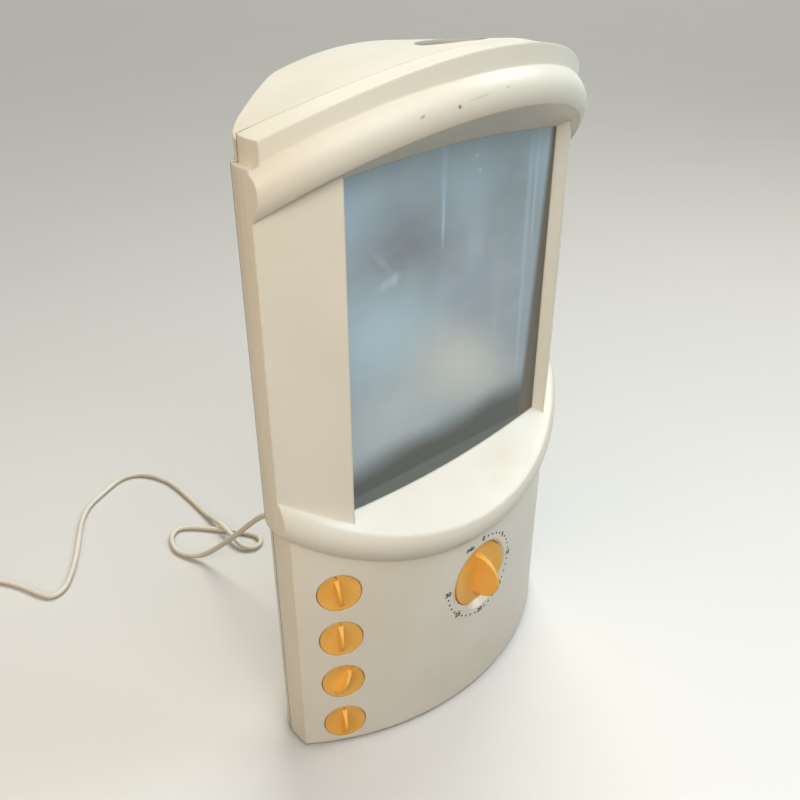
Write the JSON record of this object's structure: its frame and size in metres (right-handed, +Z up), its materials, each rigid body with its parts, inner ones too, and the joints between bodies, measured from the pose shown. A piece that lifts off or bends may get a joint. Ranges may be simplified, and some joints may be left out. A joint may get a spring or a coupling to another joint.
{
  "type": "facial tanning lamp",
  "caption": "Free-standing facial tanning lamp: bowed plastic housing, recessed filter window with ultraviolet tubes, turning timer knob, session dials and a mains lead.",
  "frame": {"origin": "on the table, under the middle of the housing's bounding box (the lead is not counted)", "axes": "+Z up, the bowed front with the window faces -Y, +X to the right seen from the front"},
  "size_m": [0.443, 0.4504, 0.45],
  "materials": {
    "cream_plastic": "moulded, satin sheen",
    "orange_plastic": "moulded, satin sheen",
    "filter_glass": "hazy polished filter glass",
    "tube_glass": "frosted by the phosphor coat",
    "frame_metal": "grey paint",
    "bright_aluminium": "bright rolled sheet",
    "cap_aluminium": "drawn",
    "holder_plastic": "matt white",
    "ballast_iron": "varnished laminations",
    "steel": "zinc plated",
    "foot_rubber": "matt",
    "cord_pvc": "soft extruded sleeve"
  },
  "bodies": {
    "housing": {"front_shell": "cream_plastic", "rear_shell": "cream_plastic", "base_plate": "cream_plastic", "feet": "foot_rubber", "filter_pane": "filter_glass", "pane_frame": "frame_metal", "reflector": "bright_aluminium", "uv_tube_1": "tube_glass", "uv_tube_2": "tube_glass", "uv_tube_3": "tube_glass", "uv_tube_4": "tube_glass", "tube_caps": "cap_aluminium", "lamp_holders": "holder_plastic", "ballast": "ballast_iron", "starters": "holder_plastic", "terminal_block": "holder_plastic", "timer_case": "holder_plastic", "shell_screws": "steel", "base_screws": "steel", "reflector_screws": "steel", "timer_screws": "steel", "ballast_screws": "steel", "cord_gland": "cord_pvc", "supply_cord": "cord_pvc", "cord_coil": "cord_pvc", "coil_tie": "foot_rubber", "plug_lead": "cord_pvc", "plug_body": "cord_pvc", "plug_pins": "steel"},
    "timer": {"timer_knob": "orange_plastic", "timer_shaft": "steel"},
    "session_dial_1": {"dial_1": "orange_plastic"},
    "session_dial_2": {"dial_2": "orange_plastic"},
    "session_dial_3": {"dial_3": "orange_plastic"},
    "session_dial_4": {"dial_4": "orange_plastic"}
  },
  "joints": [
    {"name": "timer_turn", "type": "hinge", "parent": "housing", "child": "timer", "pos_m": [0, -0.046, 0.1065], "axis": [0, 1, 0], "range_deg": [0, 270]},
    {"name": "dial_1_turn", "type": "hinge", "parent": "housing", "child": "session_dial_1", "pos_m": [-0.1044, -0.01606, 0.021], "axis": [0.5299, 0.848, 0], "range_deg": [-135, 135]},
    {"name": "dial_2_turn", "type": "hinge", "parent": "housing", "child": "session_dial_2", "pos_m": [-0.1044, -0.01606, 0.0598], "axis": [0.5299, 0.848, 0], "range_deg": [-163, 107]},
    {"name": "dial_3_turn", "type": "hinge", "parent": "housing", "child": "session_dial_3", "pos_m": [-0.1044, -0.01606, 0.0986], "axis": [0.5299, 0.848, 0], "range_deg": [-135, 135]},
    {"name": "dial_4_turn", "type": "hinge", "parent": "housing", "child": "session_dial_4", "pos_m": [-0.1044, -0.01606, 0.1374], "axis": [0.5299, 0.848, 0], "range_deg": [-127, 143]}
  ]
}
